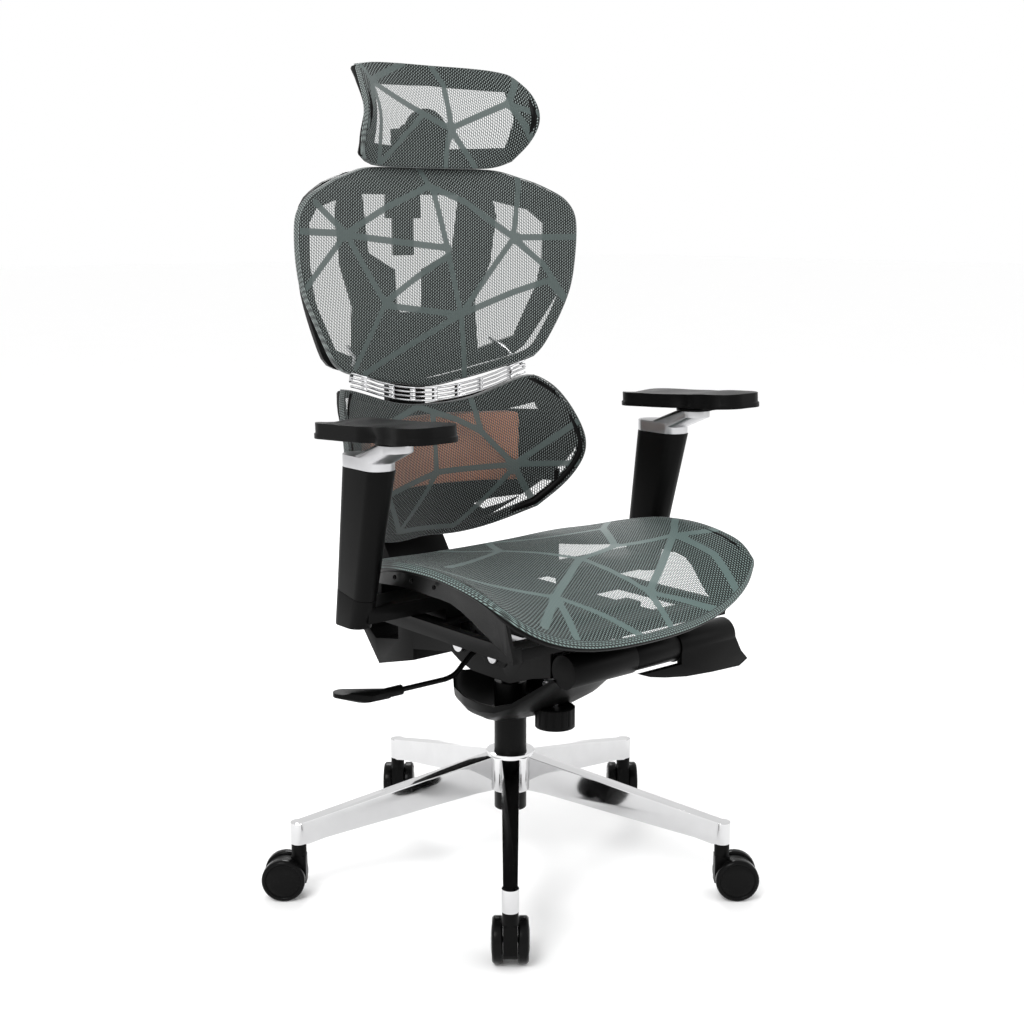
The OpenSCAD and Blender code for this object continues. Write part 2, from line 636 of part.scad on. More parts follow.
module lumbar_pad() {
    color([0.55, 0.3, 0.2]) intersection() {
        curved(shell_r - 25, shell_r - 0.4, 560, 720);
        front_cut(120, 260) translate([0, 642]) square([292, 112], center = true);
    }
}
module lumbar_pivot_pin() {
    color("silver") along_x(-46, 46, lumbar_pin[0], lumbar_pin[1], 4);
}

// ---- headrest -----------------------------------------------------------------------------

head_f = headrest_width / 324;
head_low = widened([[0, 182, 1085], [60, 180, 1085], [112, 174, 1087], [140, 164, 1097]], head_f);
head_high = widened([[0, 190, 1236], [60, 187, 1236], [112, 180, 1234], [143, 172, 1229]], head_f);
head_side = widened([[140, 164, 1097], [157, 136, 1128], [162, 120, 1163], [158, 138, 1200],
    [143, 172, 1229]], head_f);
head_grid = stretched(head_low, head_high, head_side, 18, 12, 1, [0, 42, 0]);
module headrest_mesh() {
    color([0.13, 0.19, 0.18]) slab(head_grid, moved(head_grid, [0, mesh_t, 0]));
}
module headrest_frame() {
    color([0.08, 0.08, 0.09]) {
        sweep(edge_of(head_grid), rim_profile, [0, 1, 0], closed = true);
        difference() {
            slab(moved(head_grid, [0, 4.2, 0]), moved(head_grid, [0, 7.2, 0]));
            front_cut(60, 300) polygon([[-126, 1202], [0, 1207], [126, 1202], [131, 1160], [126, 1117],
                [0, 1112], [-126, 1117], [-131, 1160]]);
        }
    }
}
module headrest_bracket() {
    color([0.09, 0.09, 0.1]) {
        front_cut(200, 206) {
            translate([0, 1132]) circle(r = 42);
            translate([-42, 1092]) square([84, 40]);
        }
        both_sides() block([20, 190, 1092], [40, 201, 1100]);
        both_sides() difference() {
            union() {
                along_x(20, 28, head_pin[0], head_pin[1], 10);
                block([20, 205, head_pin[1] - 10], [28, head_pin[0], head_pin[1] + 10]);
            }
            along_x(10, 40, head_pin[0], head_pin[1], 4 + RUN);
        }
    }
}
module headrest_stalk() {
    color([0.1, 0.1, 0.11]) {
        block([-18, 262, 950], [18, 272, 1146]);
        block([-18, 222, 1134], [18, 266, 1146]);
        along_x(-18, 18, head_pin[0], head_pin[1], 9);
        along_x(-30, 30, head_pin[0], head_pin[1], 4);
    }
}

// ---- arms ---------------------------------------------------------------------------------

module at_side(side) { mirror([side == "left" ? 0 : 1, 0, 0]) children(); }
module on_post() { translate(post_foot) rotate([arm_lean, 0, 0]) children(); }

module arm_upright(side) {
    at_side(side) color([0.09, 0.09, 0.1]) {
        on_post() translate([0, 0, -20]) linear_extrude(180) stadium(50, 22);
        intersection() {
            on_post() hull() {
                translate([0, 0, -2]) linear_extrude(1.5) stadium(70, 36, $fn = 32);
                translate([0, 2, -52]) linear_extrude(1) stadium(60, 36, $fn = 32);
            }
            block([200, -80, 444], [400, 80, 520]);
        }
        block([122, -33, 452], [arm_x, 33, 474]);
        difference() {
            block([122, -33, plate_z + plate_t + 0.2], [150, 33, 474]);
            for (y = [-20, 20]) translate([136, y, 400]) cylinder(h = 40, r = 3.2);
        }
    }
}
module arm_post(side) {
    at_side(side) color([0.08, 0.08, 0.09]) difference() {
        intersection() {
            on_post() hull() {
                linear_extrude(1) stadium(70, 36, $fn = 32);
                translate([0, 0, 90]) linear_extrude(1) stadium(80, 38, $fn = 32);
                translate([0, 0, 195]) linear_extrude(1) stadium(94, 44, $fn = 32);
            }
            block([200, -150, 400], [400, 80, post_top_z]);
        }
        on_post() translate([0, 0, -2]) linear_extrude(170) stadium(50.6, 22.6);
        translate([arm_x, post_top_y, 664]) cylinder(h = 20, r = 8 + RUN);
    }
}
module arm_bracket(side) {
    at_side(side) color([0.75, 0.76, 0.78]) {
        translate([arm_x, post_top_y, post_top_z + GAP]) linear_extrude(17) stadium(92, 44);
        translate([arm_x, post_top_y, 664.5]) cylinder(h = 12, r = 8);
        hull() {
            translate([arm_x, post_top_y - 14, post_top_z + 10]) linear_extrude(7)
                stadium(60, 42, $fn = 32);
            translate([pad_pivot[0], pad_pivot[1], 704]) cylinder(h = 10, r = 24, $fn = 32);
        }
    }
}
module arm_pad_plate(side) {
    at_side(side) translate([pad_pivot[0], pad_pivot[1], 714.4]) color([0.1, 0.1, 0.11]) {
        cylinder(h = 3.6, r = 28);
        translate([-12, -40, 3]) cube([24, 80, 5]);
    }
}
module arm_pad(side) {
    y0 = -90;
    at_side(side) color([0.07, 0.07, 0.08]) translate([arm_x + 7, y0, pad_low_z]) difference() {
        linear_extrude(pad_h) hull() {
            for (s = [-1, 1]) {
                translate([s * (pad_w / 2 - 34), pad_len / 2 - 34]) circle(r = 34);
                translate([s * (pad_w / 2 - 38), -pad_len / 2 + 34]) circle(r = 34);
            }
        }
        translate([pad_pivot[0] - arm_x - 7 - 12.4, pad_pivot[1] - y0 - 66, -1]) cube([24.8, 132, 5]);
    }
}

// ---- assembly -----------------------------------------------------------------------------

star_base();
gas_lift_column();
lift_thrust_bearing();
gas_piston_rod();
gas_pressure_tube();
mechanism_housing();
mechanism_cover();
spring_barrel();
tension_spring();
tension_bolt();
tension_knob();
height_lever_rod();
height_lever_paddle();
tilt_lock_paddle();
tilt_lock_shaft();
recline_axle();
seat_pivot_shaft();
seat_plate();
seat_rails();
seat_frame();
seat_mesh();
back_bar();
back_spine();
back_frame();
back_mesh();
back_grille();
back_screws();
lumbar_frame();
lumbar_mesh();
lumbar_pad();
lumbar_pivot_pin();
headrest_stalk();
headrest_bracket();
headrest_frame();
headrest_mesh();
for (side = ["left", "right"]) {
    arm_upright(side);
    arm_post(side);
    arm_bracket(side);
    arm_pad_plate(side);
    arm_pad(side);
}
for (k = [1:5]) {
    caster_fork(k);
    caster_wheel(k, 1);
    caster_wheel(k, -1);
}
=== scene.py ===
import json
import math

import bpy
import numpy as np
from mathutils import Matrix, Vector

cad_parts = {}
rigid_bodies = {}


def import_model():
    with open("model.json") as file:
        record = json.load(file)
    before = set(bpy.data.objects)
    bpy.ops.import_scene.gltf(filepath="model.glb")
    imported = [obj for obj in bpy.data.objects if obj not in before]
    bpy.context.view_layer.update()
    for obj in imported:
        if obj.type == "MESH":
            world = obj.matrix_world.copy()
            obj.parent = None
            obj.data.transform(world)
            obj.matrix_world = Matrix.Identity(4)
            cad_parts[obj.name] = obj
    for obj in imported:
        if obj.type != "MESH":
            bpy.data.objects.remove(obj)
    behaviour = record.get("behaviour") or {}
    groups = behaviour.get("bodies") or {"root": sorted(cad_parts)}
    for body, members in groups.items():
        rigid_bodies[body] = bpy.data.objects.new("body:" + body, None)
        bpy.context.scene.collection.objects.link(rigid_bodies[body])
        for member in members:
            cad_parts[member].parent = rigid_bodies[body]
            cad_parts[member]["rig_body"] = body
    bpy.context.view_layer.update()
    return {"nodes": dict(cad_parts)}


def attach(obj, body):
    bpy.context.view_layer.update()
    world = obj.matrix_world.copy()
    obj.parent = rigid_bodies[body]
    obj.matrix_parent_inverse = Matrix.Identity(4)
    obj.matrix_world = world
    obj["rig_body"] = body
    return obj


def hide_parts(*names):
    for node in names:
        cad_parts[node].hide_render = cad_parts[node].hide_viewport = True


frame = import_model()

scene = bpy.context.scene

# ---- Camera, floor and studio light ---------------------------------------------------------
# The camera stands in front of the chair on the sitter's right, a little above the arm pads.
# A white room, a soft key light on the left, a weaker fill on the right and one from behind.

CAMERA_AT = (-1.4559, -1.7350, 1.0074)
LOOKS_DOWN = 0.190                 # radians
CAMERA_TURN = math.radians(-40)    # about the upright, from a straight front view
FOCAL_LENGTH = 53.6                # mm
SIDE_SHIFT = 0.0016                # of the picture, as a share of its width
FLOOR_SIZE = 60

bpy.ops.object.camera_add(location=CAMERA_AT, rotation=(math.pi / 2 - LOOKS_DOWN, 0, CAMERA_TURN))
camera = bpy.context.object
camera.name = "camera"
camera.data.lens = FOCAL_LENGTH
camera.data.shift_x = SIDE_SHIFT
scene.camera = camera
scene.view_settings.view_transform = "Standard"

white_room = bpy.data.worlds.new("white_room")
white_room.use_nodes = True
white_room.node_tree.nodes["Background"].inputs["Color"].default_value = (1, 1, 1, 1)
white_room.node_tree.nodes["Background"].inputs["Strength"].default_value = 1.0
scene.world = white_room

for name, at, towards, size, watts in (
    ("key_light", (-2.6, -1.2, 2.9), (0, 0, 0.7), 1.4, 70),
    ("fill_light", (2.2, -2.4, 1.6), (0, 0, 0.6), 1.2, 12),
    ("rear_light", (1.6, 2.4, 2.4), (0, 0, 0.8), 1.2, 40),
):
    bpy.ops.object.light_add(type="AREA", location=at)
    lamp = bpy.context.object
    lamp.name = name
    lamp.data.size = size
    lamp.data.energy = watts
    lamp.rotation_mode = "QUATERNION"
    lamp.rotation_quaternion = (Vector(towards) - Vector(at)).to_track_quat("-Z", "Y")

bpy.ops.mesh.primitive_plane_add(size=FLOOR_SIZE, location=(0, 0, 0))
floor = bpy.context.object
floor.name = "studio_floor"


class Flow:
    """A value that flows through the nodes of the material being made; sums add Math nodes."""

    tree = None

    def __init__(self, socket):
        self.socket = socket

    @classmethod
    def node(cls, kind, settings=None, values=None, output=0):
        made = cls.tree.nodes.new(kind)
        for key, value in (settings or {}).items():
            if key == "stops":
                ramp = made.color_ramp
                while len(ramp.elements) < len(value):
                    ramp.elements.new(0.5)
                for stop, (at, tone) in zip(ramp.elements, value):
                    stop.position, stop.color = at, (*tone, 1)
            else:
                setattr(made, key, value)
        for key, value in (values or {}).items():
            cls.fill(made.inputs[key], value)
        return cls(made.outputs[output])

    @classmethod
    def fill(cls, socket, value):
        if isinstance(value, Flow):
            cls.tree.links.new(value.socket, socket)
        elif socket.type == "RGBA" and len(value) == 3:
            socket.default_value = (*value, 1)
        else:
            socket.default_value = value

    def math(self, operation, *others, clamp=False):
        values = {0: self} | {k + 1: v for k, v in enumerate(others)}
        return Flow.node("ShaderNodeMath", {"operation": operation, "use_clamp": clamp}, values)

    def __add__(self, other):
        return self.math("ADD", other)

    def __radd__(self, other):
        return self.math("ADD", other)

    def __sub__(self, other):
        return self.math("SUBTRACT", other)

    def __rsub__(self, other):
        return Flow.node("ShaderNodeMath", {"operation": "SUBTRACT"}, {0: other, 1: self})

    def __mul__(self, other):
        return self.math("MULTIPLY", other)

    def __rmul__(self, other):
        return self.math("MULTIPLY", other)

    def wave(self, length):
        """Cosine with that wavelength."""
        return (self * (2 * math.pi / length)).math("COSINE")

    def ripple(self, length):
        """Sine with that wavelength."""
        return (self * (2 * math.pi / length)).math("SINE")

    def step(self, low, high):
        """0 below low and 1 above high, with a smooth change between them."""
        ends = {"From Min": low, "From Max": high, "Value": self}
        return Flow.node("ShaderNodeMapRange", {"interpolation_type": "SMOOTHSTEP"}, ends)

    def tint(self, dark, light):
        """Colour from dark, where the value is 0, to light, where it is 1."""
        values = {"Factor": self, 6: dark, 7: light}
        return Flow.node("ShaderNodeMix", {"data_type": "RGBA"}, values, 2)


def start_finish(name, **fixed):
    """A new material on its Principled surface, with the constants that are the same all over."""
    finish = bpy.data.materials.new(name)
    finish.use_nodes = True
    Flow.tree = finish.node_tree
    surface = finish.node_tree.nodes["Principled BSDF"]
    for key, value in fixed.items():
        Flow.fill(surface.inputs[key.replace("_", " ")], value)
    return finish, surface


def place():
    """Object coordinates, in metres."""
    return Flow.node("ShaderNodeTexCoord", output=3)


def speckle(size, detail=2.0, rough=0.5):
    """Noise with grains of about that size in metres, from 0 to 1."""
    values = {"Vector": place(), "Scale": 1 / size, "Detail": detail, "Roughness": rough}
    return Flow.node("ShaderNodeTexNoise", {}, values)


def dent(surface, height, depth):
    """Surface relief of that depth in metres from a height between 0 and 1."""
    values = {"Height": height, "Distance": depth, "Strength": 1.0}
    Flow.fill(surface.inputs["Normal"], Flow.node("ShaderNodeBump", {}, values))


def pale_floor():
    finish, surface = start_finish("pale_floor", Roughness=0.9)
    tone = speckle(0.4).tint((0.985, 0.985, 0.985), (0.998, 0.998, 0.998))
    Flow.fill(surface.inputs["Base Color"], tone)
    return finish


floor.data.materials.append(pale_floor())


# ---- Five-star base --------------------------------------------------------------------------
# One aluminium die casting, ground and polished to a mirror, with the hub bored for the gas
# lift and a socket under each tip for the caster stem.


def only(piece):
    """Makes the piece the one that the next operators work on."""
    bpy.ops.object.select_all(action="DESELECT")
    piece.select_set(True)
    bpy.context.view_layer.objects.active = piece


def add_modifier(piece, kind, **settings):
    """Adds a modifier with its settings and applies it."""
    only(piece)
    modifier = piece.modifiers.new(kind.lower(), kind)
    for key, value in settings.items():
        setattr(modifier, key, value)
    bpy.ops.object.modifier_apply(modifier=modifier.name)


def bare_copy(node, name):
    """The node's solid as a new piece without a finish."""
    piece = bpy.data.objects.new(name, frame["nodes"][node].data.copy())
    scene.collection.objects.link(piece)
    piece.data.materials.clear()
    only(piece)
    return piece


WELD = 0.00002    # vertices nearer than this are one


def copy_of(node, name):
    """The node's solid as a new piece, with its loose triangles merged into whole faces."""
    piece = bare_copy(node, name)
    bpy.ops.object.mode_set(mode="EDIT")
    bpy.ops.mesh.select_all(action="SELECT")
    bpy.ops.mesh.remove_doubles(threshold=WELD)
    bpy.ops.mesh.dissolve_limited(angle_limit=math.radians(1.5))
    bpy.ops.object.mode_set(mode="OBJECT")
    return piece


def fit(piece, finish, *nodes):
    """Gives the piece its finish and puts it in the place of its nodes."""
    piece.data.materials.append(finish)
    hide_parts(*nodes)
    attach(piece, frame["nodes"][nodes[0]]["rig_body"])


def rounded(node, name, finish, by, steps=2, crease=28):
    """The node's solid with its edges rounded by that many metres and its faces smooth."""
    piece = copy_of(node, name)
    if by:
        add_modifier(piece, "BEVEL", width=by, segments=steps, limit_method="ANGLE",
                     angle_limit=math.radians(crease), use_clamp_overlap=True)
    only(piece)
    bpy.ops.object.shade_smooth_by_angle(angle=math.radians(crease))
    fit(piece, finish, node)
    return piece


def polished_aluminium():
    finish, surface = start_finish("polished_aluminium", Metallic=1.0, Coat_Weight=0.0)
    wear = speckle(0.03, 4.0)
    Flow.fill(surface.inputs["Base Color"], wear.tint((0.58, 0.58, 0.585), (0.66, 0.66, 0.665)))
    Flow.fill(surface.inputs["Roughness"], wear * 0.05 + 0.04)
    return finish


mirror_finish = polished_aluminium()
rounded("star_base", "star_base_casting", mirror_finish, 0.0020, 3)


# ---- Casters ---------------------------------------------------------------------------------
# Each has a moulded hood on a steel stem, and two glossy nylon discs with a softer tread that
# turn on one axle. The hood and the discs are black.

def moulded_black(name, tone, shine, grain, depth):
    """Injection-moulded black plastic; grain is the size of its texture."""
    finish, surface = start_finish(name, Specular_IOR_Level=0.07)
    patch = speckle(0.06, 3.0)
    darker, lighter = [t * 0.8 for t in tone], [t * 1.25 for t in tone]
    Flow.fill(surface.inputs["Base Color"], patch.tint(darker, lighter))
    Flow.fill(surface.inputs["Roughness"], patch * 0.12 + shine)
    dent(surface, speckle(grain, 2.0), depth)
    return finish


disc_black = moulded_black("disc_black", (0.004, 0.004, 0.004), 0.14, 0.004, 0.00002)
hood_black = moulded_black("hood_black", (0.002, 0.002, 0.002), 0.32, 0.0008, 0.00008)
for k in range(1, 6):
    rounded(f"caster_fork_{k}", f"caster_hood_{k}", hood_black, 0.0010)
    for side in "ab":
        rounded(f"caster_wheel_{k}{side}", f"caster_disc_{k}{side}", disc_black, 0.0012, 3)


# ---- Gas lift --------------------------------------------------------------------------------
# A black powder-coated steel column pressed into the hub, with the chromed pressure tube, its
# rod and the thrust bearing inside it.

def powder_coat():
    finish, surface = start_finish("powder_coat", Specular_IOR_Level=0.08)
    patch = speckle(0.05, 3.0)
    Flow.fill(surface.inputs["Base Color"], patch.tint((0.002, 0.002, 0.002), (0.004, 0.004, 0.004)))
    Flow.fill(surface.inputs["Roughness"], patch * 0.1 + 0.27)
    dent(surface, speckle(0.0015, 1.0), 0.00004)
    return finish


def zinc_plate():
    finish, surface = start_finish("zinc_plate", Metallic=1.0)
    patch = speckle(0.008, 3.0)
    Flow.fill(surface.inputs["Base Color"], patch.tint((0.50, 0.50, 0.51), (0.68, 0.68, 0.69)))
    Flow.fill(surface.inputs["Roughness"], patch * 0.15 + 0.22)
    return finish


coat_black = powder_coat()
bright_steel = zinc_plate()
rounded("gas_lift_column", "gas_lift_column_tube", coat_black, 0.0008)
rounded("gas_pressure_tube", "gas_spring_tube", coat_black, 0.0005)
rounded("gas_piston_rod", "gas_spring_rod", bright_steel, 0.0004)
rounded("lift_thrust_bearing", "thrust_bearing", bright_steel, 0.0003)


# ---- Mechanism -------------------------------------------------------------------------------
# A pressed steel housing with its shafts and spring, closed from below by a moulded dish whose
# front runs into the cross barrel.

satin_black = moulded_black("satin_black", (0.002, 0.002, 0.002), 0.34, 0.0009, 0.00010)
rounded("mechanism_housing", "mechanism_side_plates", coat_black, 0.0010)
rounded("mechanism_cover", "mechanism_dish", satin_black, 0.0015)
rounded("spring_barrel", "middle_barrel", satin_black, 0.0015)
rounded("tension_spring", "tension_coil", bright_steel, 0)
rounded("tension_bolt", "tension_screw", bright_steel, 0.0005)
rounded("tension_knob", "tension_grip", satin_black, 0.0012)
rounded("recline_axle", "recline_shaft", bright_steel, 0.0006)
rounded("seat_pivot_shaft", "seat_shaft", bright_steel, 0.0006)
rounded("height_lever_rod", "lever_rod", coat_black, 0, crease=60)
rounded("height_lever_paddle", "lever_paddle", satin_black, 0.0015)
rounded("tilt_lock_paddle", "lock_paddle", satin_black, 0.0020)
rounded("tilt_lock_shaft", "lock_shaft", bright_steel, 0.0004)


# ---- Seat carrier ----------------------------------------------------------------------------
# A steel plate on the mechanism, with two slide rails that carry the seat's moulded shell. Small
# black screws sit in the shell's sides.

rounded("seat_plate", "seat_carrier_plate", coat_black, 0.0010)
rounded("seat_rails", "slide_rails", bright_steel, 0.0005)
rounded("seat_frame", "seat_shell", satin_black, 0.0015)


def turned_head(name, at, towards, radius, height):
    """Screw head with a round edge and a round sunk socket, standing on a face."""
    bpy.ops.mesh.primitive_cylinder_add(vertices=24, radius=radius, depth=height)
    head = bpy.context.object
    head.name = name
    bpy.ops.object.mode_set(mode="EDIT")
    bpy.ops.mesh.select_all(action="DESELECT")
    bpy.ops.object.mode_set(mode="OBJECT")
    for face in head.data.polygons:
        face.select = face.normal.z > 0.9
    bpy.ops.object.mode_set(mode="EDIT")
    bpy.ops.mesh.select_mode(type="FACE")
    bpy.ops.mesh.inset(thickness=radius * 0.5)
    bpy.ops.mesh.extrude_region_move(TRANSFORM_OT_translate={"value": (0, 0, -height * 0.5)})
    bpy.ops.object.mode_set(mode="OBJECT")
    add_modifier(head, "BEVEL", width=height * 0.2, segments=2, limit_method="ANGLE")
    head.rotation_mode = "QUATERNION"
    head.rotation_quaternion = Vector(towards).to_track_quat("Z", "Y")
    head.location = at
    only(head)
    bpy.ops.object.transform_apply(location=True, rotation=True, scale=True)
    bpy.ops.object.shade_smooth_by_angle(angle=math.radians(35))
    return head


SCREW_SPOTS = ((0.2350, -0.026, 0.511), (0.2443, -0.078, 0.517), (0.2445, -0.130, 0.517))
SCREW_RADIUS = 0.0032
SCREW_HEIGHT = 0.0025

for side, word in ((-1, "right"), (1, "left")):
    for k, (x, y, z) in enumerate(SCREW_SPOTS, 1):
        head = turned_head(f"shell_screw_{word}_{k}", (side * x, y, z), (side, 0, 0),
                           SCREW_RADIUS, SCREW_HEIGHT)
        head.data.materials.append(satin_black)
        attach(head, frame["nodes"]["seat_frame"]["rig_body"])


# ---- Stretched mesh and seat -----------------------------------------------------------------
# Elastic knitted mesh, clamped all round in each frame. Pale columns of thread stand on black
# ground threads with open holes between them, and a web of close-knit bands runs across it.
# The seat's panel comes first, with the wall of its shell behind it.

PITCH = 0.0034         # between two columns of thread
BEAD = 0.0046          # between two stitches in a column
HEM_ROW = 0.0038       # between the rows of stitches round the edge
HEM_STITCH = 0.0056    # between two stitches in such a row
BAND_COVER = 0.93      # share of a close-knit band that hides what is behind it
KNIT_RELIEF = 0.0004


def knitted_mesh(name, thread, shadow, band, band_light, opening):
    """See-through knit that reads each panel's UV map, in metres, and its attributes.

    A higher opening leaves narrower columns of thread.
    """
    finish, surface = start_finish(name, Roughness=0.62, Sheen_Weight=0.15)
    uv = Flow.node("ShaderNodeSeparateXYZ", {}, {"Vector": Flow.node("ShaderNodeUVMap")})
    u, v = uv, Flow(uv.socket.node.outputs[1])
    column = u.wave(PITCH)
    bead = u.wave(2 * PITCH) * v.wave(BEAD)
    knot = u.ripple(2 * PITCH) * v.ripple(BEAD)
    strand = column.step(opening, opening + 0.45)
    link = knot.step(0.55, 0.85)
    tone = column.step(-0.35, 0.15) * bead.step(-0.6, 0.7)
    edge = Flow.node("ShaderNodeAttribute", {"attribute_name": "band"}, output=2)
    in_band = 1 - edge.step(-0.0006, 0.0006)
    patch = speckle(0.09, 2.0)
    plain = tone.tint(shadow, thread)
    fleck = (u.wave(PITCH / 2) * v.wave(BEAD / 2)).step(-0.4, 0.8)
    close = (fleck * 0.5 + patch * 0.5).tint(band, band_light)
    mix = {"data_type": "RGBA"}
    colour = Flow.node("ShaderNodeMix", mix, {"Factor": in_band, 6: plain, 7: close}, 2)
    depth = Flow.node("ShaderNodeAttribute", {"attribute_name": "depth"}, output=2)
    # Rows of stitches on the edge that wraps over the rim. The stitch rows are the knit's own, but
    # their thread is a fifth paler than the rest, which is a painted highlight along the rolled
    # edge.
    hem = depth.step(0.0006, 0.0012)
    dash = depth.wave(HEM_ROW).step(-0.2, 0.4) * (u + v).wave(HEM_STITCH).step(-0.6, 0.1)
    highlit_stitches = dash.tint(shadow, [min(t * 1.2, 1) for t in thread])
    colour = Flow.node("ShaderNodeMix", mix, {"Factor": hem, 6: colour, 7: highlit_stitches}, 2)
    Flow.fill(surface.inputs["Base Color"], colour)
    open_knit = strand.math("MAXIMUM", link).math("MAXIMUM", hem)
    Flow.fill(surface.inputs["Alpha"], open_knit.math("MAXIMUM", in_band * BAND_COVER))
    dent(surface, tone.math("MAXIMUM", in_band * 0.7), KNIT_RELIEF)
    return finish


def wrap_edge(panel, facing):
    """Carries the panel's edge over its rim in three extrusions; gives each vertex's depth."""
    behind = -Vector(facing)
    depth = [0.0] * len(panel.data.vertices)
    only(panel)
    bpy.ops.object.mode_set(mode="EDIT")
    bpy.ops.mesh.select_mode(type="EDGE")
    bpy.ops.mesh.select_all(action="DESELECT")
    bpy.ops.mesh.select_non_manifold(extend=False, use_wire=False, use_boundary=True,
                                     use_multi_face=False, use_non_contiguous=False,
                                     use_verts=False)
    for wider, drop in ((1.011, 0.0015), (1.004, 0.0040), (1.0, 0.0055)):
        bpy.ops.mesh.extrude_region_move(TRANSFORM_OT_translate={"value": behind * drop})
        if wider > 1:
            spread = [wider, wider, 1] if facing[2] else [wider, 1, wider]
            bpy.ops.transform.resize(value=spread)
        bpy.ops.object.mode_set(mode="OBJECT")
        depth += [depth[-1] + drop + 0.003 * (wider > 1)] * (len(panel.data.vertices) - len(depth))
        bpy.ops.object.mode_set(mode="EDIT")
    bpy.ops.mesh.select_mode(type="VERT")
    bpy.ops.object.mode_set(mode="OBJECT")
    return np.array(depth)


def stretch_panel(node, name, facing, finish, webs, half_width):
    """The front layer of the node's sheet, with a UV map in metres and its web of bands."""
    panel = bare_copy(node, name)
    bpy.ops.object.mode_set(mode="EDIT")
    bpy.ops.mesh.select_all(action="DESELECT")
    bpy.ops.object.mode_set(mode="OBJECT")
    for face in panel.data.polygons:
        face.select = face.normal.dot(Vector(facing)) < 0.2
    bpy.ops.object.mode_set(mode="EDIT")
    bpy.ops.mesh.delete(type="FACE")
    bpy.ops.mesh.select_all(action="SELECT")
    bpy.ops.mesh.remove_doubles(threshold=WELD)
    bpy.ops.mesh.tris_convert_to_quads(face_threshold=math.radians(60),
                                       shape_threshold=math.radians(60))
    bpy.ops.object.mode_set(mode="OBJECT")
    add_modifier(panel, "SUBSURF", levels=2, render_levels=2, boundary_smooth="PRESERVE_CORNERS")
    depth = wrap_edge(panel, facing)
    bpy.ops.object.shade_smooth()
    across, along, over = (0, 1, 2) if facing[2] else (0, 2, 1)
    points = np.array([v.co for v in panel.data.vertices])
    row = points[np.abs(points[:, along] - np.median(points[:, along])) < 0.02]
    row = row[np.argsort(row[:, across])]
    stations = np.linspace(row[0, across], row[-1, across], 33)
    height = np.interp(stations, row[:, across], row[:, over])
    steps = np.hypot(np.diff(stations), np.diff(height))
    u = np.interp(points[:, across], stations, np.concatenate([[0], np.cumsum(steps)]))
    outward = (points - points.mean(axis=0))[:, [across, along]]
    outward /= np.abs(outward).max(axis=0)
    outward /= np.linalg.norm(outward, axis=1)[:, None] + 0.001
    u = u + depth * outward[:, 0]
    v = points[:, along] + depth * outward[:, 1]
    layer = panel.data.uv_layers.new(name="UVMap")
    for loop in panel.data.loops:
        layer.data[loop.index].uv = (u[loop.vertex_index], v[loop.vertex_index])
    flat_points = points[:, [across, along]]
    nearest = np.full(len(points), 1.0)
    for start, end in webs:
        a, b = np.array(start) / 1000, np.array(end) / 1000
        t = np.clip(((flat_points - a) @ (b - a)) / ((b - a) @ (b - a)), 0, 1)
        nearest = np.minimum(nearest, np.linalg.norm(flat_points - a - t[:, None] * (b - a), axis=1))
    band = panel.data.attributes.new("band", "FLOAT", "POINT")
    band.data.foreach_set("value", (nearest - half_width).astype(np.float32))
    hem = panel.data.attributes.new("depth", "FLOAT", "POINT")
    hem.data.foreach_set("value", depth.astype(np.float32))
    fit(panel, finish, node)
    return panel


seat_knit = knitted_mesh("seat_knit", (0.165, 0.235, 0.222), (0.004, 0.008, 0.007),
                         (0.062, 0.102, 0.096), (0.100, 0.155, 0.145), -0.45)
back_knit = knitted_mesh("back_knit", (0.23, 0.27, 0.26), (0.004, 0.006, 0.006),
                         (0.042, 0.060, 0.057), (0.070, 0.095, 0.090), -0.18)
# The lumbar's knit is the back's knit with darker thread, ground and band colours. This is painted
# shade for the lumbar, whose lower part faces down.
shaded_lumbar_knit = knitted_mesh("shaded_lumbar_knit", (0.13, 0.155, 0.150), (0.003, 0.004, 0.004),
                           (0.032, 0.047, 0.045), (0.055, 0.076, 0.072), -0.10)
head_knit = knitted_mesh("head_knit", (0.24, 0.285, 0.275), (0.004, 0.006, 0.006),
                         (0.042, 0.060, 0.057), (0.070, 0.095, 0.090), 0.0)

SEAT_WEB = [((-96, -211), (44, -108)), ((-96, -211), (-177, -280)), ((-96, -211), (-134, -296)),
            ((-96, -211), (-25, -306)), ((-96, -211), (-206, -159)), ((-206, -159), (-250, -100)),
            ((44, -108), (56, -241)), ((56, -241), (37, -303)), ((56, -241), (131, -300)),
            ((44, -108), (125, -99)), ((125, -99), (210, -140)), ((44, -108), (-13, 10)),
            ((-13, 10), (-186, -84)), ((125, -99), (180, -14)), ((180, -14), (225, 20)),
            ((210, -140), (254, -100)), ((210, -140), (254, -190)), ((210, -140), (209, -223)),
            ((209, -223), (183, -296)), ((210, -140), (56, -241)), ((-13, 10), (40, 104)),
            ((-13, 10), (-60, 104)), ((180, -14), (40, 104))]
stretch_panel("seat_mesh", "seat_panel", (0, 0, 1), seat_knit, SEAT_WEB, 0.0058)
PAN_TOP = 0.436    # of the shell's under-pan
REAR_ARC = 0.070   # the wall follows the edge of the sheet behind this Y
WALL_END = 0.165   # distance from the middle plane to the wall's ends, clear of the arm feet
RIM_INSET = 0.004  # of the wall from the edge of the sheet
WALL_THICKNESS = 0.003


